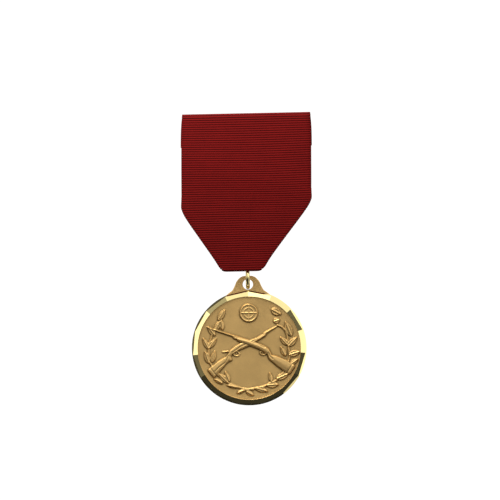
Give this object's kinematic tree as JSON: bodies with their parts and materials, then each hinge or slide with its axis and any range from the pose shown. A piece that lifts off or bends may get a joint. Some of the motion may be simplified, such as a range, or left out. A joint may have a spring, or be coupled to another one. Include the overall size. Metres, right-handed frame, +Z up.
{
  "type": "service medal",
  "caption": "Round gilt service medal with a faceted rim and a laurel and crossed-rifles relief, hung by a jump ring from a folded red ribbon with a pin and safety catch behind.",
  "frame": {"origin": "middle of the pin's wire behind the ribbon, which holds the medal up when the pin is closed", "axes": "+X to the right seen from the front, +Y to the back, towards the garment, +Z up; the medal hangs plumb and faces -Y"},
  "size_m": [0.035, 0.0073, 0.0789],
  "materials": {
    "ribbon": "ribbed grosgrain",
    "thread": "twisted thread",
    "gold_plate": "satin gilt with a polished rim",
    "brass": "bright gilt stamping",
    "nickel": "nickel-plated wire"
  },
  "bodies": {
    "drape": {"ribbon": "ribbon", "stiffener_bar": "nickel", "pin_base": "brass", "hinge_rivet": "nickel", "catch_housing": "brass", "pin_stitch_left": "thread", "pin_stitch_right": "thread", "hanger_bail": "brass", "bail_stitch_left": "thread", "bail_stitch_right": "thread", "flap_stitch_left_outer": "thread", "flap_stitch_left_middle": "thread", "flap_stitch_left_inner": "thread", "flap_stitch_right_outer": "thread", "flap_stitch_right_middle": "thread", "flap_stitch_right_inner": "thread"},
    "pin": {"pin_stem": "nickel"},
    "catch": {"catch_barrel": "brass"},
    "ring": {"jump_ring": "gold_plate"},
    "disc": {"medal_disc": "gold_plate"}
  },
  "joints": [
    {"name": "pin_opening", "type": "hinge", "parent": "drape", "child": "pin", "pos_m": [-0.011, 0, 0], "axis": [0, 0, 1], "range_deg": [0, 95]},
    {"name": "catch_turn", "type": "hinge", "parent": "drape", "child": "catch", "pos_m": [0.01, 0, 0], "axis": [-1, 0, 0], "range_deg": [0, 95]},
    {"name": "ring_swing", "type": "hinge", "parent": "drape", "child": "ring", "pos_m": [0, -0.001, -0.0375], "axis": [1, 0, 0], "range_deg": [-15, 40]},
    {"name": "disc_sway", "type": "hinge", "parent": "ring", "child": "disc", "pos_m": [0, -0.001, -0.04215], "axis": [0, 1, 0], "range_deg": [-35, 35]}
  ]
}
